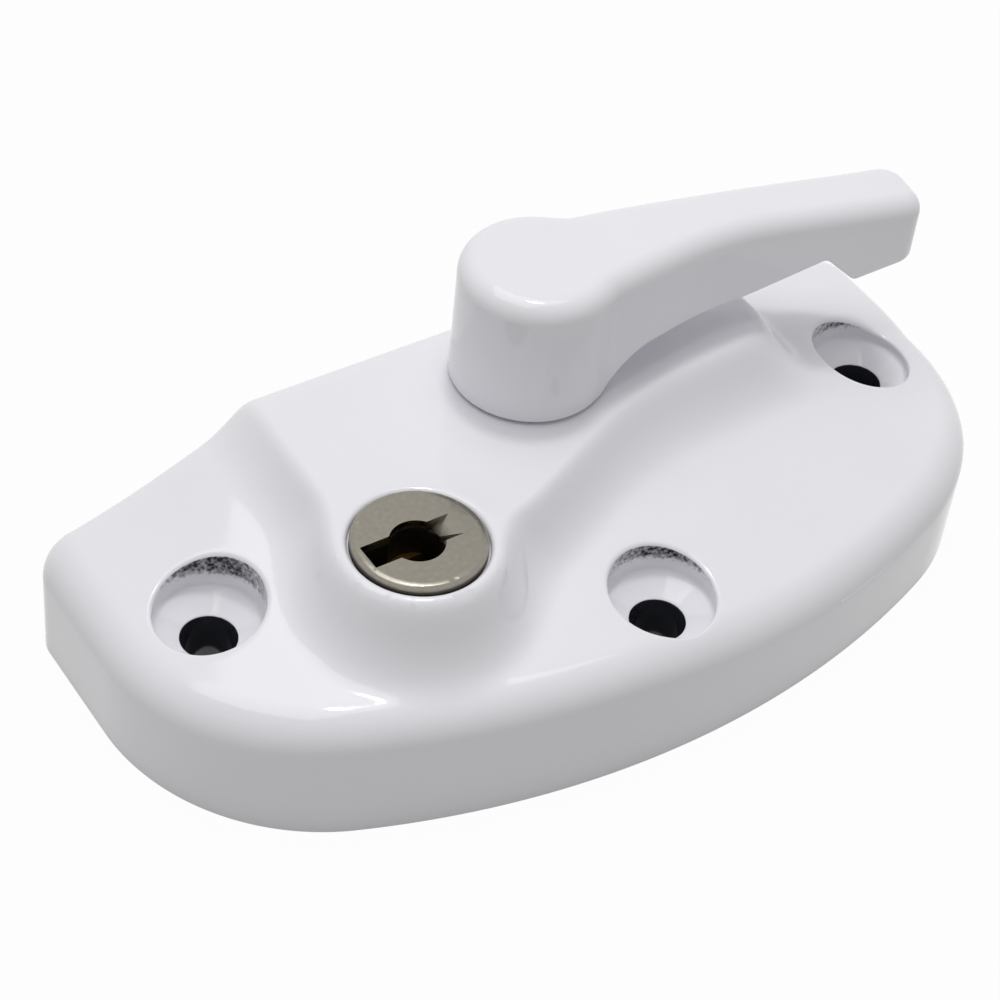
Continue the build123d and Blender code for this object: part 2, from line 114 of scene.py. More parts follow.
def top_height(x, y):
    """Height of the casting's top: the lowest of ramp, dish and front rim, softly blended, and the
    plateau on them, whose wall falls as a power of what is left of its run. Where ramp and dish meet
    at the right, the ramp has a shallow crease."""
    into_dish = DISH_R - np.hypot(x - DISH_X, y - DISH_Y)
    crease = np.where(into_dish > 0, 1.0, np.maximum(1 + into_dish / CREASE_FADE, 0) ** 2)
    crease = crease * np.clip((x - CREASE_X) / CREASE_RUN, 0, 1)
    ramp = RIM_Z + rise(RAMP_RUN + PLATEAU_HALF - np.abs(x), RAMP_SLOPE, RAMP_CURVE) - CREASE_DEPTH * crease
    dish = RIM_Z + rise(RAMP_RUN - into_dish, RAMP_SLOPE, RAMP_CURVE)
    front = FRONT_RIM_Z + rise(FRONT_ARC_R - np.hypot(x, y - FRONT_ARC_Y), FRONT_SLOPE, FRONT_CURVE)
    land = soft_min(soft_min(ramp, dish, BLEND["dish"]), front, BLEND["rim"])
    land = soft_min(land, PLATEAU_Z, BLEND["brow"])
    down = np.clip(soft_max(off_plateau(x, y), 0 * x, BLEND["foot"]) / WALL_RUN, 0, 1)
    return land + (PLATEAU_Z - land) * (1 - down) ** WALL_POWER


STEP_PER_RADIUS = 0.08


def base_outline(step):
    """Points and outward normals along the D: straight back, two small corner arcs, straight ends, two
    large corner arcs and the front arc, counter-clockwise, about one point every step mm, and finer on
    a small arc."""
    join = math.atan2(CORNER_X, FRONT_ARC_Y - CORNER_Y)
    points, normals = [], []

    def line(x0, y0, x1, y1, n):
        count = max(int(math.hypot(x1 - x0, y1 - y0) / step), 1)
        t = np.arange(count) / count
        points.append(np.column_stack((x0 + (x1 - x0) * t, y0 + (y1 - y0) * t)))
        normals.append(np.tile(n, (count, 1)))

    def arc(cx, cy, r, a0, a1):
        count = max(int(abs(a1 - a0) * r / min(step, r * STEP_PER_RADIUS)), 1)
        a = a0 + (a1 - a0) * np.arange(count) / count
        ray = np.column_stack((np.cos(a), np.sin(a)))
        points.append(np.array((cx, cy)) + r * ray)
        normals.append(ray)

    back_x = HALF_WIDTH - BACK_CORNER_R
    back_in = BACK_Y - BACK_CORNER_R
    line(back_x, BACK_Y, -back_x, BACK_Y, (0, 1))
    arc(-back_x, back_in, BACK_CORNER_R, math.pi / 2, math.pi)
    line(-HALF_WIDTH, back_in, -HALF_WIDTH, CORNER_Y, (-1, 0))
    arc(-CORNER_X, CORNER_Y, CORNER_R, math.pi, 1.5 * math.pi - join)
    arc(0, FRONT_ARC_Y, FRONT_ARC_R, 1.5 * math.pi - join, 1.5 * math.pi + join)
    arc(CORNER_X, CORNER_Y, CORNER_R, 1.5 * math.pi + join, 2 * math.pi)
    line(HALF_WIDTH, CORNER_Y, HALF_WIDTH, back_in, (1, 0))
    arc(back_x, back_in, BACK_CORNER_R, 0, math.pi / 2)
    return np.concatenate(points), np.concatenate(normals)


def inside_base(x, y):
    """Distance in from the base's outline, below nought outside it."""
    ax = np.abs(x)
    side, back = HALF_WIDTH - ax, BACK_Y - y
    to_front = FRONT_ARC_R - np.hypot(x, y - FRONT_ARC_Y)
    corner = CORNER_R - np.hypot(ax - CORNER_X, y - CORNER_Y)
    join = math.atan2(CORNER_X, FRONT_ARC_Y - CORNER_Y)
    in_corner = np.arctan2(ax, FRONT_ARC_Y - y) > join
    low = np.where(in_corner, corner, to_front)
    near_back = BACK_CORNER_R - np.hypot(BACK_CORNER_R - side, BACK_CORNER_R - back)
    high = np.where((side < BACK_CORNER_R) & (back < BACK_CORNER_R), near_back, np.minimum(side, back))
    return np.where(y < CORNER_Y, low, high)


class Shell:
    """Collects rings, strips and caps as arrays, then makes one mesh of them. The net of a cap has
    rows that are ROW_HEIGHT of its spacing apart, and stays NET_MARGIN of it clear of the rings."""

    ROW_HEIGHT = 0.866
    NET_MARGIN = 0.6
    MERGE_DISTANCE = 1e-7
    SHARP_DEGREES = 32

    def __init__(self):
        self.points, self.quads, self.tris, self.count = [], [], [], 0

    def ring(self, points):
        """Adds one closed ring of points and gives back their numbers."""
        self.points.append(np.asarray(points, float))
        first = self.count
        self.count += len(points)
        return np.arange(first, self.count)

    def strip(self, a, b, keep=slice(None)):
        """Joins two rings of equal count with quads, facing left of a's direction seen from b's side.
        Keep leaves out the quads of an opening."""
        a2, b2 = np.roll(a, -1), np.roll(b, -1)
        self.quads.append(np.column_stack((a, a2, b2, b))[keep])

    def cap(self, rings, height, keep, spacing, flip=False):
        """Fills the flat region bounded by rings with a fine triangle net. New points take their height
        from a formula, and keep tells which triangle centres lie in the region."""
        all_points = np.concatenate(self.points)
        edge = [all_points[r] for r in rings]
        low = np.concatenate(edge)[:, :2].min(0)
        high = np.concatenate(edge)[:, :2].max(0)
        rows = np.arange(low[1], high[1], spacing * self.ROW_HEIGHT)
        cols = np.arange(low[0], high[0], spacing)
        gx, gy = np.meshgrid(cols, rows)
        gx = gx + (np.arange(len(rows)) % 2)[:, None] * spacing / 2
        net = np.column_stack((gx.ravel(), gy.ravel()))
        net = net[keep(net[:, 0], net[:, 1], spacing * self.NET_MARGIN)]
        flat = np.concatenate([e[:, :2] for e in edge] + [net])
        loops, start = [], 0
        for e in edge:
            n = len(e)
            loops += [(start + i, start + (i + 1) % n) for i in range(n)]
            start += n
        out, _, faces, _, _, _ = delaunay_2d_cdt(flat.tolist(), loops, [], 0, self.MERGE_DISTANCE, False)
        out = np.array([tuple(v) for v in out])
        assert len(out) == len(flat)
        faces = np.array(faces)
        centre = out[faces].mean(1)
        faces = faces[keep(centre[:, 0], centre[:, 1], 0.0)]
        filling = self.ring(np.column_stack((net, height(net[:, 0], net[:, 1]))))
        ids = np.concatenate(list(rings) + [filling])
        self.tris.append(ids[faces[:, ::-1] if flip else faces])

    def mesh(self, name):
        """Makes the object, in metres, with smooth faces and outward normals."""
        quads = np.concatenate(self.quads) if self.quads else np.zeros((0, 4), int)
        tris = np.concatenate(self.tris) if self.tris else np.zeros((0, 3), int)
        data = bpy.data.meshes.new(name)
        data.from_pydata((np.concatenate(self.points) * MM).tolist(), [], quads.tolist() + tris.tolist())
        data.polygons.foreach_set("use_smooth", np.ones(len(data.polygons), bool))
        data.set_sharp_from_angle(angle=math.radians(self.SHARP_DEGREES))
        piece = bpy.data.objects.new(name, data)
        bpy.context.scene.collection.objects.link(piece)
        return piece


def coat_height(x, y):
    """Height of the coated top: the casting's, less a quarter circle of rounding along the outline."""
    short = EDGE_ROUND - np.clip(inside_base(x, y), 0, EDGE_ROUND)
    return top_height(x, y) - EDGE_ROUND + np.sqrt(EDGE_ROUND ** 2 - short ** 2)


CUPS = [(-35.0, -6.0), (0.0, -22.6), (35.0, -6.0)]
CUP_R = 4.8
HOLE_R = 2.45
KEY_BORE_R = 6.0
SPINDLE_SEAT_R = 6.2
RIM_ROUND = {"cup": 0.4, "key": 0.55, "spindle": 0.15}
OUTLINE_STEP = 0.5
CAP_INSET = 1.3
CAP_SPACING = 0.4
TONGUE_R = 17.5
TONGUE_HALF_ANGLE = math.radians(22)
INNER_WALL_Y = 7.1
STOP_GAP = 0.2
SLOT_GAP = 0.5
TONGUE_SLOT_X = (-BACK_Y * math.tan(TONGUE_HALF_ANGLE) - STOP_GAP,
                 math.sqrt(TONGUE_R ** 2 - INNER_WALL_Y ** 2) + SLOT_GAP)
TONGUE_SLOT_Z = (3.2, 8.5)
BESIDE_SLOT = 19
TOUCH = 0.01
OFF_BACK_WEIGHT = 100
WALL_LEVELS = 8
SILL_LEVEL, HEAD_LEVEL = 1, 4

skin = Shell()
edge, outward = base_outline(OUTLINE_STEP)

# The outline's points nearest to the two sides of the tongue's slot move onto them.
for slot_x in TONGUE_SLOT_X:
    edge[np.argmin(np.abs(edge[:, 0] - slot_x) + OFF_BACK_WEIGHT * (BACK_Y - edge[:, 1])), 0] = slot_x

rings = []
for turn in np.linspace(0, math.acos(1 - CAP_INSET / EDGE_ROUND), 9):
    place = edge - EDGE_ROUND * (1 - math.cos(turn)) * outward
    rings.append(skin.ring(np.column_stack((place, coat_height(place[:, 0], place[:, 1])))))

# The outer wall is a stack of rings. Beside the slot two of them run along its sill and its head, and
# the quads between those two are left out across the slot.
wall_top = skin.points[0][:, 2]
beside_slot = (edge[:, 1] > BACK_Y - TOUCH) & (np.abs(edge[:, 0]) < BESIDE_SLOT)
in_slot = beside_slot & (edge[:, 0] > TONGUE_SLOT_X[0] + TOUCH) & (edge[:, 0] < TONGUE_SLOT_X[1] + TOUCH)
sill_share, head_share = SILL_LEVEL / WALL_LEVELS, HEAD_LEVEL / WALL_LEVELS
wall_rings = []
for share in np.linspace(0, 1, WALL_LEVELS + 1)[:-1]:
    to_head = np.interp(share, (0, sill_share, head_share), (0, *TONGUE_SLOT_Z))
    above = TONGUE_SLOT_Z[1] + (wall_top - TONGUE_SLOT_Z[1]) * (share - head_share) / (1 - head_share)
    z = np.where(beside_slot, to_head if share <= head_share else above, wall_top * share)
    wall_rings.append(skin.ring(np.column_stack((edge, z))))
for level, (low, high) in enumerate(zip(wall_rings, wall_rings[1:] + [rings[0]])):
    skin.strip(low, high, ~in_slot if SILL_LEVEL <= level < HEAD_LEVEL else slice(None))
for low, high in zip(rings, rings[1:]):
    skin.strip(low, high)

ROUND_STEPS = 96


def well(shell, cx, cy, rim_r, rim_round, wall):
    """A round recess: a rounded rim that follows the top surface, then a wall of revolution given as
    radius and height pairs. Gives back the rim's outer ring."""
    a = np.arange(ROUND_STEPS) / ROUND_STEPS * 2 * math.pi
    ray = np.column_stack((np.cos(a), np.sin(a)))
    made = []
    for turn in np.linspace(math.pi / 2, 0, 7):
        place = np.array((cx, cy)) + (rim_r + rim_round * (1 - math.cos(turn))) * ray
        z = coat_height(place[:, 0], place[:, 1]) - rim_round * (1 - math.sin(turn))
        made.append(shell.ring(np.column_stack((place, z))))
    rim_z = z
    r0, z0 = wall[0]
    for share in np.linspace(0, 1, 7)[1:]:
        place = np.array((cx, cy)) + rim_r * ray
        made.append(shell.ring(np.column_stack((place, rim_z + (z0 - rim_z) * share))))
    for r, z in wall[1:]:
        place = np.array((cx, cy)) + r * ray
        made.append(shell.ring(np.column_stack((place, np.full(ROUND_STEPS, z)))))
    for outer, inner in zip(made, made[1:]):
        shell.strip(outer, inner)
    return made[0]


def fillet_profile(r0, z0, radius, a0, a1, count=6):
    """Radius and height pairs along an arc about (r0, z0)."""
    a = np.radians(np.linspace(a0, a1, count))
    return list(zip(r0 + radius * np.cos(a), z0 + radius * np.sin(a)))


CUP_FILLET = 0.7
CUP_FILLET_Z = 10.9
HOLE_EDGE = 0.35
HOLE_EDGE_Z = 8.95
CONE_DEGREES = 62
SEAT_Z = 19.3
KEY_SEAT_R = 5.25
JOURNAL_BORE_R = 4.05

cup_wall = [(CUP_R, CUP_FILLET_Z)]
cup_wall += fillet_profile(CUP_R - CUP_FILLET, CUP_FILLET_Z, CUP_FILLET, 0, -CONE_DEGREES)[1:]
cup_wall += fillet_profile(HOLE_R + HOLE_EDGE, HOLE_EDGE_Z, HOLE_EDGE, 180 - CONE_DEGREES, 180)
cup_wall += [(HOLE_R, z) for z in (6.0, 3.0, 0.0)]
key_seat = [(KEY_BORE_R, SEAT_Z), (KEY_SEAT_R, SEAT_Z)]
spindle_seat = [(SPINDLE_SEAT_R, SEAT_Z), (JOURNAL_BORE_R, SEAT_Z)]
holes = [well(skin, x, y, CUP_R, RIM_ROUND["cup"], cup_wall) for x, y in CUPS]
holes.append(well(skin, KEY_X, KEY_Y, KEY_BORE_R, RIM_ROUND["key"], key_seat))
holes.append(well(skin, 0, 0, SPINDLE_SEAT_R, RIM_ROUND["spindle"], spindle_seat))
hole_list = [(x, y, CUP_R + RIM_ROUND["cup"]) for x, y in CUPS]
hole_list += [(KEY_X, KEY_Y, KEY_BORE_R + RIM_ROUND["key"]), (0, 0, SPINDLE_SEAT_R + RIM_ROUND["spindle"])]


def on_top(x, y, margin):
    """True for points of the top between the last ring along the outline and the rims."""
    inside = inside_base(x, y) > CAP_INSET + margin
    for cx, cy, r in hole_list:
        inside &= np.hypot(x - cx, y - cy) > r + margin * 0.999 - 1e-4
    return inside


skin.cap([rings[-1]] + holes, coat_height, on_top, CAP_SPACING)
casting = skin.mesh("casting_skin")

# The hollow below, with its bosses, rails and posts, is the cast shape of the frame's own body, less
# the faces that the skin stands for.


def copy_without(node, name, drop, place=None, sharp=30):
    """A copy of a frame node with its doubles merged, less the faces that drop names by their corner
    places and normals. Place moves the points, in mm. Edges beyond sharp degrees stay sharp."""
    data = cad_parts[node].data.copy()
    data.name = name
    work = bmesh.new()
    work.from_mesh(data)
    bmesh.ops.remove_doubles(work, verts=work.verts, dist=1e-6)
    bmesh.ops.triangulate(work, faces=work.faces)
    work.faces.ensure_lookup_table()
    work.verts.index_update()
    co = np.array([v.co for v in work.verts]) / MM
    corner = np.array([[v.index for v in f.verts] for f in work.faces])
    normal = np.array([f.normal for f in work.faces])
    gone = drop(co[corner], normal)
    bmesh.ops.delete(work, geom=[f for f, g in zip(work.faces, gone) if g], context="FACES")
    work.to_mesh(data)
    work.free()
    if place:
        flat = np.empty(len(data.vertices) * 3)
        data.vertices.foreach_get("co", flat)
        data.vertices.foreach_set("co", (place(flat.reshape(-1, 3) / MM) * MM).ravel())
    data.polygons.foreach_set("use_smooth", np.ones(len(data.polygons), bool))
    data.set_sharp_from_angle(angle=math.radians(sharp))
    piece = bpy.data.objects.new(name, data)
    bpy.context.scene.collection.objects.link(piece)
    even = piece.modifiers.new("flat_faces_stay_flat", "WEIGHTED_NORMAL")
    even.keep_sharp = True
    even.weight = 100
    return piece


NEAR = 0.03
TOP_DEPTH = 3.5
TOP_LOWEST_Z = 8
SEATS_FROM_Z = 19.25


def outer_faces(corner, normal):
    """Faces of the frame's body that lie on the skin: the top, the outer walls and the wells."""
    x, y, z = corner[..., 0], corner[..., 1], corner[..., 2]
    near_top = (z > coat_height(x, y) - TOP_DEPTH).all(1) & (z > TOP_LOWEST_Z).all(1)
    facing_up, upright = normal[:, 2] > 0.1, np.abs(normal[:, 2]) < 0.2
    on_wall = (np.abs(inside_base(x, y)) < NEAR).all(1)
    gone = near_top & facing_up | on_wall & upright
    for cx, cy in CUPS:
        gone |= (np.hypot(x - cx, y - cy) < CUP_R + NEAR).all(1)
    above_seats = (z > SEATS_FROM_Z).all(1)
    gone |= (np.hypot(x - KEY_X, y - KEY_Y) < KEY_BORE_R + NEAR).all(1) & above_seats
    gone |= (np.hypot(x, y) < SPINDLE_SEAT_R + NEAR).all(1) & above_seats
    return gone


hollow = copy_without("body_casting", "casting_hollow", outer_faces)

for piece in (casting, hollow):
    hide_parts("body_casting")
    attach(piece, "base")


def linear(code):
    """A linear colour with alpha from an sRGB hex value."""
    s = [int(code[i:i + 2], 16) / 255 for i in (0, 2, 4)]
    return [c / 12.92 if c <= 0.04045 else ((c + 0.055) / 1.055) ** 2.4 for c in s] + [1.0]


def add(tree, kind, links=None, **settings):
    """Adds one node. Settings name its properties or sockets, and links its inputs' sources."""
    node = tree.nodes.new(kind)
    for key, value in settings.items():
        if hasattr(node, key):
            setattr(node, key, value)
        else:
            node.inputs[key.replace("_", " ")].default_value = value
    for key, source in (links or {}).items():
        socket = node.inputs[key] if isinstance(key, int) else node.inputs[key.replace("_", " ")]
        tree.links.new(source, socket)
    return node


def new_material(name):
    """An empty material with its tree and its output node."""
    material = bpy.data.materials.new(name)
    material.use_nodes = True
    tree = material.node_tree
    tree.nodes.clear()
    return material, tree, tree.nodes.new("ShaderNodeOutputMaterial")


PEEL_MM = 1.5
CLOUD_MM = 14
SPECK_MM = 0.35
DARK_FROM, DARK_TO = 0.85, 1.35


def powder_coat():
    """White gloss polyester powder coat: a deep even white under a smooth clear surface, with the
    faint orange peel of the fused powder. Where the thin-coat and hole-shade mask and a fine speckle
    together pass a threshold, a dark blue-grey comes in: painted shade down the screw holes, and on the
    cups' back walls a speckle where the coat runs thin, in the same shade-dark grey."""
    material, tree, out = new_material("white_gloss_powder_coat")
    place = add(tree, "ShaderNodeTexCoord").outputs["Object"]
    peel = add(tree, "ShaderNodeTexNoise", {"Vector": place}, Scale=1 / (PEEL_MM * MM), Detail=1.0)
    cloud = add(tree, "ShaderNodeTexNoise", {"Vector": place}, Scale=1 / (CLOUD_MM * MM), Detail=2.0)
    tone = add(tree, "ShaderNodeMix", {"Factor": cloud.outputs["Fac"]}, data_type="RGBA")
    tone.inputs[6].default_value = linear("EDECF1")
    tone.inputs[7].default_value = linear("F1F0F5")
    bump = add(tree, "ShaderNodeBump", {"Height": peel.outputs["Fac"]}, Strength=0.05, Distance=0.02 * MM)
    coat_and_shade_mask = add(tree, "ShaderNodeAttribute", attribute_name="thin_coat_and_hole_shade")
    speck = add(tree, "ShaderNodeTexNoise", {"Vector": place}, Scale=1 / (SPECK_MM * MM), Detail=3.0)
    shown = add(tree, "ShaderNodeMath", {0: coat_and_shade_mask.outputs["Fac"], 1: speck.outputs["Fac"]}, operation="ADD")
    through = add(tree, "ShaderNodeMapRange", {"Value": shown.outputs[0]})
    through.inputs["From Min"].default_value = DARK_FROM
    through.inputs["From Max"].default_value = DARK_TO
    coat_with_shade = add(tree, "ShaderNodeMix", {"Factor": through.outputs[0], 6: tone.outputs[2]}, data_type="RGBA")
    # painted shade: the dark blue-grey of the deep screw holes, also used for the thin-coat speckle on the
    # cups' walls
    coat_with_shade.inputs[7].default_value = linear("2E3038")
    coat = add(tree, "ShaderNodeBsdfPrincipled", {"Base Color": coat_with_shade.outputs[2], "Normal": bump.outputs[0]},
               Roughness=0.08, IOR=1.5)
    tree.links.new(coat.outputs[0], out.inputs[0])
    return material


THIN_SIDE = (0.61, 0.79)
THIN_FROM_Z, THIN_RUN = 11.4, 1.1
THIN_WALL, HOLE_SHADE = 0.76, 1.15
HOLE_MOUTH_Z = 9.3


def thin_coat_and_hole_shade(x, y, z):
    """Mask for the dark blue-grey: painted shade all down the through holes below their mouth, and in a
    cup, where the coat runs thin, rising up the wall on its back right side by the root of the cosine
    of the angle from there."""
    shown = np.zeros(len(x))
    for cx, cy in CUPS:
        r = np.hypot(x - cx, y - cy)
        toward = ((y - cy) * THIN_SIDE[1] + (x - cx) * THIN_SIDE[0]) / CUP_R
        up = np.clip((z - THIN_FROM_Z) / THIN_RUN, 0, 1)
        wall = np.sqrt(np.clip(toward, 0, 1)) * (r > CUP_R - 0.3) * up
        shown = np.where(r < CUP_R + 0.02, np.maximum(shown, THIN_WALL * wall), shown)
        # painted shade: the through holes take the dark blue-grey in full below their mouth
        shown = np.where((r < HOLE_R + 0.06) & (z < HOLE_MOUTH_Z), HOLE_SHADE, shown)
    return shown


def mark_coat(piece):
    """Stores the thin-coat and hole-shade mask at the points of a coated piece."""
    flat = np.empty(len(piece.data.vertices) * 3)
    piece.data.vertices.foreach_get("co", flat)
    x, y, z = flat.reshape(-1, 3).T / MM
    layer = piece.data.attributes.new("thin_coat_and_hole_shade", "FLOAT", "POINT")
    layer.data.foreach_set("value", thin_coat_and_hole_shade(x, y, z))


white_coat = powder_coat()
mark_coat(casting)
for piece in (casting, hollow):
    piece.data.materials.clear()
    piece.data.materials.append(white_coat)

# Lever
# The real piece is one zinc casting with the same white coat: a round boss, a waisted arm that falls
# to a lip for the finger, hollowed below, and the spindle that carries the rotor. Its spindle is left
# bare, and runs in the base on an acetal washer.

BOSS_R = 7.0
BOSS_TOP_Z = 33.0
LEVER_LOW_Z = 20.3
LEVER_ROUND = 1.9
FOOT_ROUND = 0.3
TIP_X = 40.15
TIP_TURN = math.radians(8.8)
TIP_NEAR_R, TIP_FAR_R = 2.1, 2.4
JOURNAL_R = 4.0
FAR_START_X = 5.2
FAR_SLOPE, FAR_CURVE = 0.085, 0.0014
ARCH_Z = 23.4
FLARE_FROM_R, FLARE_TO_R = 7.1, 11.0
FLARE_ROUND, FLARE_CENTRE_Z = 4.0, 19.4
LEVER_BLEND = {"waist": 1.8, "near": 0.5, "far": 1.5, "top": 0.4, "arch": 0.6, "fall": 0.7, "lip": 0.4}

# Straight runs, each with a place along the arm, the value there and the gain per mm.
TO_WAIST = (9.0, -4.95, 0.178)
FROM_WAIST = (26.5, -4.5, -0.154)
ARM_TOP = (28.0, 31.0, -0.09)
ARCH_RISE = (21.3, ARCH_Z, 0.27)
ARCH_FALL = (29.15, 25.5, -0.97)
LIP_FOOT = (32.5, 22.25, 0.19)


def along_run(x, run):
    """The value of a straight run at x."""
    start, value, gain = run
    return value + gain * (x - start)


def near_side(x):
    """The arm's near side: the boss's circle, blended into a line that narrows to the waist, then one
    that widens."""
    arm = soft_min(along_run(x, TO_WAIST), along_run(x, FROM_WAIST), LEVER_BLEND["waist"])
    return soft_min(-np.sqrt(np.maximum(BOSS_R ** 2 - x * x, 0)), arm, LEVER_BLEND["near"])


def far_side(x):
    """The arm's far side: the boss's circle, blended into a slope that steepens with the square of x."""
    past = x - FAR_START_X
    arm = math.sqrt(BOSS_R ** 2 - FAR_START_X ** 2) - FAR_SLOPE * past - FAR_CURVE * past ** 2
    return soft_max(np.sqrt(np.maximum(BOSS_R ** 2 - x * x, 0)), arm, LEVER_BLEND["far"])


def ridge(x):
    """Height of the lever's top: level over the boss, blended into the arm's slope."""
    return soft_min(BOSS_TOP_Z + 0 * x, along_run(x, ARM_TOP), LEVER_BLEND["top"])


def underside(x, y):
    """Height of the lever's underside: the boss's foot, a quarter circle that flares from it, then the
    arch for the finger and the lip, as straight runs that soft minimum and maximum round off."""
    r = np.hypot(x, y)
    arch = soft_max(ARCH_Z + 0 * x, along_run(x, ARCH_RISE), LEVER_BLEND["arch"])
    arch = soft_min(arch, along_run(x, ARCH_FALL), LEVER_BLEND["fall"])
    arch = soft_max(arch, along_run(x, LIP_FOOT), LEVER_BLEND["lip"])
    out = FLARE_TO_R - np.minimum(r, FLARE_TO_R)
    flare = FLARE_CENTRE_Z + np.sqrt(np.maximum(FLARE_ROUND ** 2 - out ** 2, 0))
    return np.where(r < FLARE_FROM_R, LEVER_LOW_Z, np.where(r < FLARE_TO_R, flare, arch))


def corner(place, before, after, r):
    """Points of an arc that rounds a corner between two directions, turning left."""
    before = np.array(before) / np.linalg.norm(before)
    after = np.array(after) / np.linalg.norm(after)
    turn = math.acos(np.dot(before, after))
    centre = place - before * r * math.tan(turn / 2) + r * np.array((-before[1], before[0]))
    a = math.atan2(before[1], before[0]) - math.pi / 2 + np.linspace(0, turn, 15)
    return centre + r * np.column_stack((np.cos(a), np.sin(a)))


def evenly(points, step):
    """The closed curve through points, divided evenly about every step mm, with outward normals."""
    closed = np.vstack((points, points[:1]))
    run = np.concatenate(([0], np.cumsum(np.linalg.norm(np.diff(closed, axis=0), axis=1))))
    at = np.arange(int(run[-1] / step)) * run[-1] / int(run[-1] / step)
    place = np.column_stack([np.interp(at, run, closed[:, k]) for k in (0, 1)])
    along = np.roll(place, -1, 0) - np.roll(place, 1, 0)
    along /= np.linalg.norm(along, axis=1)[:, None]
    return place, np.column_stack((along[:, 1], -along[:, 0]))


BOSS_DEGREES = (70, 270)


def lever_outline():
    """The lever from above, counter-clockwise: round the boss, along the near side, across the tip with
    its two rounded corners, and back along the far side."""
    near_x = TIP_X - (far_side(TIP_X) - near_side(TIP_X)) * math.sin(TIP_TURN)
    near_tip, far_tip = np.array((near_x, near_side(near_x))), np.array((TIP_X, far_side(TIP_X)))
    across = far_tip - near_tip
    near_slope = near_side(near_x) - near_side(near_x - 1)
    far_slope = far_side(TIP_X) - far_side(TIP_X - 1)
    first = corner(near_tip, (1, near_slope), across, TIP_NEAR_R)
    second = corner(far_tip, across, (-1, -far_slope), TIP_FAR_R)
    a = np.radians(np.linspace(*BOSS_DEGREES, 200))
    boss = BOSS_R * np.column_stack((np.cos(a), np.sin(a)))
    x = np.linspace(0, first[0, 0], 300)[1:-1]
    back = np.linspace(second[-1, 0], BOSS_R * math.cos(math.radians(BOSS_DEGREES[0])), 300)[1:-1]
    return np.vstack((boss, np.column_stack((x, near_side(x))), first, second,
                      np.column_stack((back, far_side(back)))))


def within(ring, x, y):
    """True for points inside a closed ring, by counting the ring's edges to their right."""
    x1, y1 = ring[:, 0], ring[:, 1]
    x2, y2 = np.roll(x1, -1), np.roll(y1, -1)
    spans = (y1 > y[:, None]) != (y2 > y[:, None])
    with np.errstate(divide="ignore", invalid="ignore"):
        cross = x1 + (y[:, None] - y1) * (x2 - x1) / (y2 - y1)
    return (spans & (x[:, None] < cross)).sum(1) % 2 == 1


def clear_of(ring, x, y):
    """Distance from each point to the nearest of a ring's points."""
    return np.sqrt(((ring[:, 0] - x[:, None]) ** 2 + (ring[:, 1] - y[:, None]) ** 2).min(1))


LEVER_STEP = 0.24
LEVER_SPACING = 0.35

handle = Shell()
edge, outward = evenly(lever_outline(), LEVER_STEP)
levels = []
for turn in np.linspace(0, math.pi / 2, 6):
    place = edge - FOOT_ROUND * (1 - math.sin(turn)) * outward
    z = underside(place[:, 0], place[:, 1]) + FOOT_ROUND * (1 - math.cos(turn))
    levels.append(handle.ring(np.column_stack((place, z))))
foot_z = z
wall_z = ridge(edge[:, 0]) - LEVER_ROUND
for share in np.linspace(0, 1, 13)[1:-1]:
    levels.append(handle.ring(np.column_stack((edge, foot_z + (wall_z - foot_z) * share))))
for turn in np.linspace(0, math.pi / 2, 13):
    place = edge - LEVER_ROUND * (1 - math.cos(turn)) * outward
    z = ridge(place[:, 0]) - LEVER_ROUND * (1 - math.sin(turn))
    levels.append(handle.ring(np.column_stack((place, z))))
for low, high in zip(levels, levels[1:]):
    handle.strip(low, high)
top_edge = edge - LEVER_ROUND * outward
foot_edge = edge - FOOT_ROUND * outward
around = np.arange(ROUND_STEPS) / ROUND_STEPS * 2 * math.pi
journal = np.column_stack((JOURNAL_R * np.cos(around), JOURNAL_R * np.sin(around)))
journal_ring = handle.ring(np.column_stack((journal, np.full(ROUND_STEPS, LEVER_LOW_Z))))


def on_lever_top(x, y, margin):
    """True for points of the lever's flat top."""
    return within(top_edge, x, y) & (clear_of(top_edge, x, y) > margin)


def under_lever(x, y, margin):
    """True for points of the underside outside the spindle."""
    inside = within(foot_edge, x, y) & (np.hypot(x, y) > JOURNAL_R + margin - 1e-3)
    return inside & (clear_of(foot_edge, x, y) > margin)


handle.cap([levels[-1]], lambda x, y: ridge(x), on_lever_top, LEVER_SPACING)
handle.cap([levels[0], journal_ring], underside, under_lever, LEVER_SPACING, flip=True)
lever_skin = handle.mesh("lever_casting")

# The spindle is the frame's own: the faces of the lever within the journal and below the boss.

SPINDLE_MARGIN = 0.05


def above_spindle(corner, normal):
    """Faces of the frame's lever that lie outside its journal or above the boss's foot."""
    x, y, z = corner[..., 0], corner[..., 1], corner[..., 2]
    beside = (np.hypot(x, y) > JOURNAL_R + SPINDLE_MARGIN).any(1)
    return beside | (z > LEVER_LOW_Z + SPINDLE_MARGIN).any(1)


spindle = copy_without("lever", "lever_spindle", above_spindle)

ROUGHNESS_SPREAD = 0.05


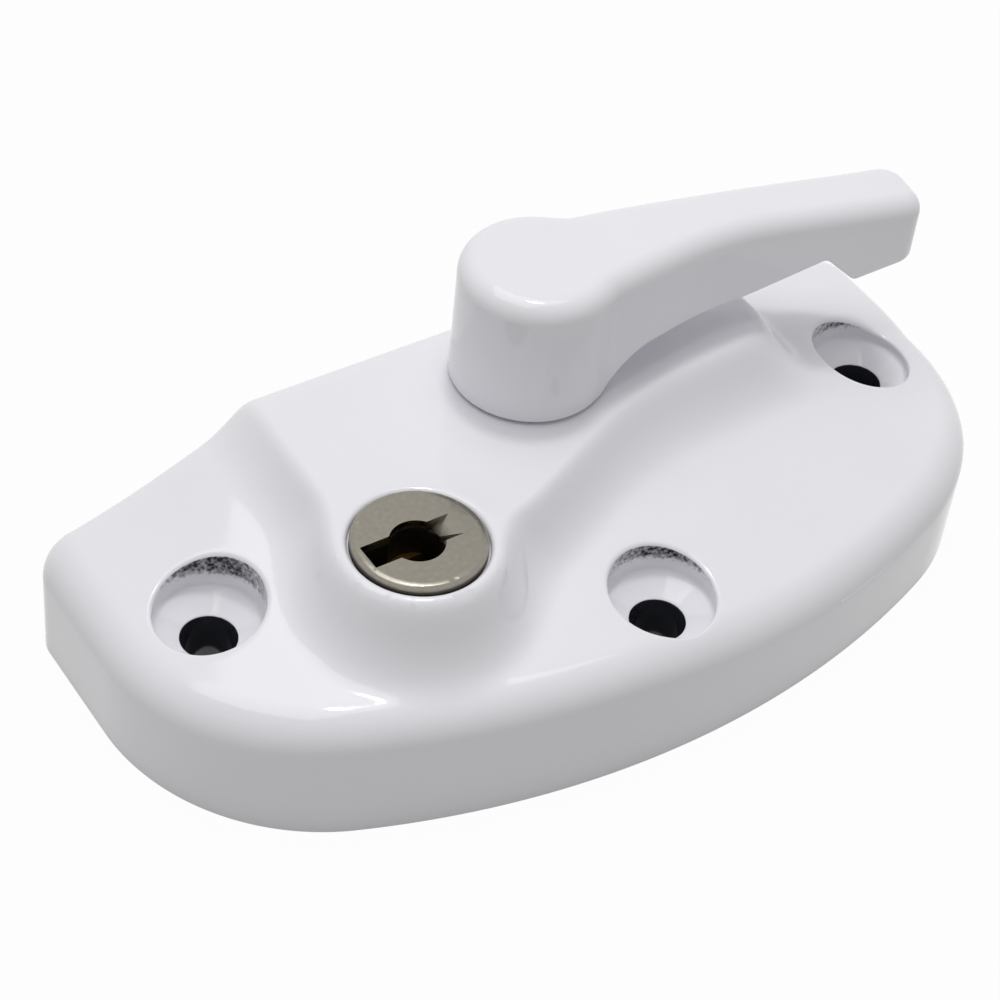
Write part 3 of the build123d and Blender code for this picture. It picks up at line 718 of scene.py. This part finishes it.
def machined(name, code, grain_code, grain_mm, roughness, metal=1.0, depth=0.01):
    """A metal or plastic surface: fine noise of grain_mm moves its colour between two tones, its
    roughness by the spread and its height by depth in mm, as turning, stamping or casting leaves it."""
    material, tree, out = new_material(name)
    place = add(tree, "ShaderNodeTexCoord").outputs["Object"]
    grain = add(tree, "ShaderNodeTexNoise", {"Vector": place}, Scale=1 / (grain_mm * MM), Detail=4.0)
    tone = add(tree, "ShaderNodeMix", {"Factor": grain.outputs["Fac"]}, data_type="RGBA")
    tone.inputs[6].default_value = linear(code)
    tone.inputs[7].default_value = linear(grain_code)
    rough = add(tree, "ShaderNodeMapRange", {"Value": grain.outputs["Fac"]})
    rough.inputs["To Min"].default_value = roughness - ROUGHNESS_SPREAD
    rough.inputs["To Max"].default_value = roughness + ROUGHNESS_SPREAD
    bump = add(tree, "ShaderNodeBump", {"Height": grain.outputs["Fac"]}, Strength=0.3, Distance=depth * MM)
    shader = add(tree, "ShaderNodeBsdfPrincipled", {"Base Color": tone.outputs[2],
                 "Roughness": rough.outputs["Result"], "Normal": bump.outputs[0]}, Metallic=metal)
    tree.links.new(shader.outputs[0], out.inputs[0])
    return material


def finish(piece, node, joint, material):
    """Puts a finished piece in a node's place, on a joint and material."""
    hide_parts(node)
    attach(piece, joint)
    piece.data.materials.clear()
    piece.data.materials.append(material)


bare_zinc = machined("bare_die_cast_zinc", "A9A9A6", "8E8E8B", 0.4, 0.42)
finish(lever_skin, "lever", "handle", white_coat)
finish(spindle, "lever", "handle", bare_zinc)

# Cylinder plug
# The real piece is a turned and broached brass plug, nickel-plated over its polished face. Its winged
# keyway is left as broached and dull, with painted shade down it, and a ring clip holds it in the housing.

PLUG_FACE_Z = 20.45
PLUG_HEAD_R = 5.85
NODE_FACE_Z = 20.9
NODE_HEAD_R = 5.65
HEAD_TOP_FROM_Z = 19.6
PLUG_SHARP = 8
SHADED_DULL_Z, BRIGHT_Z = 19.5, 20.1


def keep_all(corner, normal):
    """Drops no faces."""
    return np.zeros(len(corner), bool)


def seat_head(co):
    """Lowers the plug's head from the node's face to PLUG_FACE_Z and widens it to PLUG_HEAD_R."""
    x, y, z = co.T
    r = np.hypot(x - KEY_X, y - KEY_Y)
    wide = np.where((z > SEATS_FROM_Z) & (r > KEY_SEAT_R), PLUG_HEAD_R / NODE_HEAD_R, 1.0)
    lowered = np.where(z > HEAD_TOP_FROM_Z, z - NODE_FACE_Z + PLUG_FACE_Z, z)
    return np.column_stack((KEY_X + (x - KEY_X) * wide, KEY_Y + (y - KEY_Y) * wide, lowered))


def nickel_plate():
    """Nickel plate, warm grey and faintly mottled, over brass that shows dull in the keyway, where painted
    shade makes it near black: the tone darkens with depth below the face, and a fine noise mottles both."""
    material, tree, out = new_material("nickel_plated_brass")
    place = add(tree, "ShaderNodeTexCoord").outputs["Object"]
    split = add(tree, "ShaderNodeSeparateXYZ", {0: place})
    grain = add(tree, "ShaderNodeTexNoise", {"Vector": place}, Scale=1 / (0.5 * MM), Detail=5.0)
    face = add(tree, "ShaderNodeMix", {"Factor": grain.outputs["Fac"]}, data_type="RGBA")
    face.inputs[6].default_value = linear("837F77")
    face.inputs[7].default_value = linear("989489")
    inside = add(tree, "ShaderNodeMix", {"Factor": grain.outputs["Fac"]}, data_type="RGBA")
    # painted shade: near black down the keyway, over the dull brass
    inside.inputs[6].default_value = linear("0C0B0A")
    inside.inputs[7].default_value = linear("3A342A")
    depth = add(tree, "ShaderNodeMapRange", {"Value": split.outputs["Z"]})
    depth.inputs["From Min"].default_value = SHADED_DULL_Z * MM
    depth.inputs["From Max"].default_value = BRIGHT_Z * MM
    tone = add(tree, "ShaderNodeMix", {"Factor": depth.outputs[0], 6: inside.outputs[2], 7: face.outputs[2]},
               data_type="RGBA")
    rough = add(tree, "ShaderNodeMapRange", {"Value": depth.outputs[0]})
    rough.inputs["To Min"].default_value = 0.6
    rough.inputs["To Max"].default_value = 0.2
    bump = add(tree, "ShaderNodeBump", {"Height": grain.outputs["Fac"]}, Strength=0.25, Distance=0.01 * MM)
    metal = add(tree, "ShaderNodeBsdfPrincipled", {"Base Color": tone.outputs[2],
                "Roughness": rough.outputs[0], "Normal": bump.outputs[0]}, Metallic=1.0)
    tree.links.new(metal.outputs[0], out.inputs[0])
    return material


plug = copy_without("plug", "plug_turned", keep_all, seat_head, PLUG_SHARP)
finish(plug, "plug", "cylinder", nickel_plate())

# Wafers, springs, rotor and bolt
# The real pieces are stamped brass wafers on small steel springs, a die-cast rotor, a bar bolt behind a
# pressed cover, all zinc-plated, with steel screws and clip, and a black acetal washer under the boss.

acetal = machined("black_acetal", "17171A", "0E0E10", 0.6, 0.45, metal=0.0)
spring_steel = machined("oiled_spring_steel", "5F6063", "77787B", 0.25, 0.3)
zinc_plate = machined("zinc_plated_steel", "A7ABB0", "8F949A", 0.8, 0.3)
wafer_brass = machined("stamped_brass", "B9954F", "8F6F38", 0.3, 0.35)
INNER = [("thrust_washer", "base", "black_acetal", acetal),
         ("cone_washer", "base", "spring_steel", spring_steel),
         ("cam", "handle", "zinc_plate", zinc_plate),
         ("end_washer", "handle", "zinc_plate", zinc_plate),
         ("cam_screw", "handle", "zinc_plate", zinc_plate),
         ("plug_clip", "cylinder", "spring_steel", spring_steel),
         ("lock_bolt", "bolt", "zinc_plate", zinc_plate),
         ("bolt_cover", "base", "zinc_plate", zinc_plate),
         ("cover_screw_1", "base", "zinc_plate", zinc_plate),
         ("cover_screw_2", "base", "zinc_plate", zinc_plate)]
for i in range(1, 5):
    INNER.append((f"wafer_{i}", f"wafer_{i}", "wafer_brass", wafer_brass))
    INNER.append((f"wafer_spring_{i}", "cylinder", "spring_steel", spring_steel))
for node, body, slot, material in INNER:
    finish(copy_without(node, node + "_finished", keep_all), node, body, material)

# Floor, lights and camera
# A pale floor that meets a white backdrop, one large soft light above with a small bright one beside
# it, and the camera where the photograph was taken from.

FLOOR_SIZE = 4.0
FLOOR_GLOW = 0.97
ROOM_LIGHT = 0.42
SENSOR_MM = 36.0
FOCAL_PIXELS = 2738.086
PHOTO_PIXELS = 1000


def plane(name, size, z):
    """A square of that size at height z, in metres."""
    h = size / 2
    data = bpy.data.meshes.new(name)
    data.from_pydata([(-h, -h, z), (h, -h, z), (h, h, z), (-h, h, z)], [], [(0, 1, 2, 3)])
    piece = bpy.data.objects.new(name, data)
    bpy.context.scene.collection.objects.link(piece)
    return piece


def white_to_the_eye(tree):
    """One for camera, glossy and transmission rays, nought for the rest."""
    path = add(tree, "ShaderNodeLightPath")
    seen = add(tree, "ShaderNodeMath", operation="MAXIMUM")
    tree.links.new(path.outputs["Is Camera Ray"], seen.inputs[0])
    tree.links.new(path.outputs["Is Glossy Ray"], seen.inputs[1])
    both = add(tree, "ShaderNodeMath", operation="MAXIMUM")
    tree.links.new(seen.outputs[0], both.inputs[0])
    tree.links.new(path.outputs["Is Transmission Ray"], both.inputs[1])
    return both.outputs[0]


floor = plane("studio_floor", FLOOR_SIZE, 0.0)
material, tree, out = new_material("white_studio_floor")
matt = add(tree, "ShaderNodeBsdfDiffuse", Color=linear("C2C1BE"))
glow = add(tree, "ShaderNodeEmission", Strength=1.0)
share = add(tree, "ShaderNodeMath", operation="MULTIPLY")
share.inputs[1].default_value = FLOOR_GLOW
tree.links.new(white_to_the_eye(tree), share.inputs[0])
mixed = add(tree, "ShaderNodeMixShader", {0: share.outputs[0], 1: matt.outputs[0], 2: glow.outputs[0]})
tree.links.new(mixed.outputs[0], out.inputs[0])
floor.data.materials.append(material)

world = bpy.data.worlds.new("studio")
bpy.context.scene.world = world
world.use_nodes = True
tree = world.node_tree
tree.nodes.clear()
out = tree.nodes.new("ShaderNodeOutputWorld")
plain = add(tree, "ShaderNodeBackground", Color=(1, 1, 1, 1), Strength=ROOM_LIGHT)
seen = add(tree, "ShaderNodeBackground", Color=(1, 1, 1, 1), Strength=1.0)
mixed = add(tree, "ShaderNodeMixShader", {0: white_to_the_eye(tree), 1: plain.outputs[0],
                                          2: seen.outputs[0]})
tree.links.new(mixed.outputs[0], out.inputs[0])


def soft_light(name, place, target, width, height, power):
    """A rectangular area light at place, facing target, in metres and watts."""
    light = bpy.data.lights.new(name, "AREA")
    light.shape = "RECTANGLE"
    light.size = width
    light.size_y = height
    light.energy = power
    lamp = bpy.data.objects.new(name, light)
    place, target = np.array(place), np.array(target)
    back = (place - target) / np.linalg.norm(place - target)
    side = np.cross((0.0, 0.0, 1.0) if abs(back[2]) < 0.99 else (0.0, 1.0, 0.0), back)
    side /= np.linalg.norm(side)
    up = np.cross(back, side)
    rows = [list(row) + [p] for row, p in zip(np.column_stack((side, up, back)), place)]
    lamp.matrix_world = Matrix(rows + [[0, 0, 0, 1]])
    bpy.context.scene.collection.objects.link(lamp)
    return lamp


LIT_POINT = (0, -0.01, 0.01)
soft_light("overhead_softbox", (-0.05, 0.12, 0.75), LIT_POINT, width=0.7, height=0.5, power=1.95)
soft_light("small_bright_lamp", (0.08, 0.104, 0.784), LIT_POINT, width=0.09, height=0.09, power=1.2)

VIEWPOINT = (-0.112338, -0.144089, 0.180266)
RIGHT = (0.836475, -0.54136, 0.085082)
DOWN = (-0.327374, -0.618152, -0.714643)
FORWARD = (0.439473, 0.569928, -0.694296)
lens = bpy.data.cameras.new("photo_camera")
lens.sensor_width = SENSOR_MM
lens.lens = FOCAL_PIXELS / PHOTO_PIXELS * SENSOR_MM
lens.clip_start = 0.01
camera = bpy.data.objects.new("photo_camera", lens)
axes = [[RIGHT[i], -DOWN[i], -FORWARD[i], VIEWPOINT[i]] for i in range(3)]
camera.matrix_world = Matrix(axes + [[0, 0, 0, 1]])
bpy.context.scene.collection.objects.link(camera)
bpy.context.scene.camera = camera
bpy.context.scene.view_settings.view_transform = "Standard"
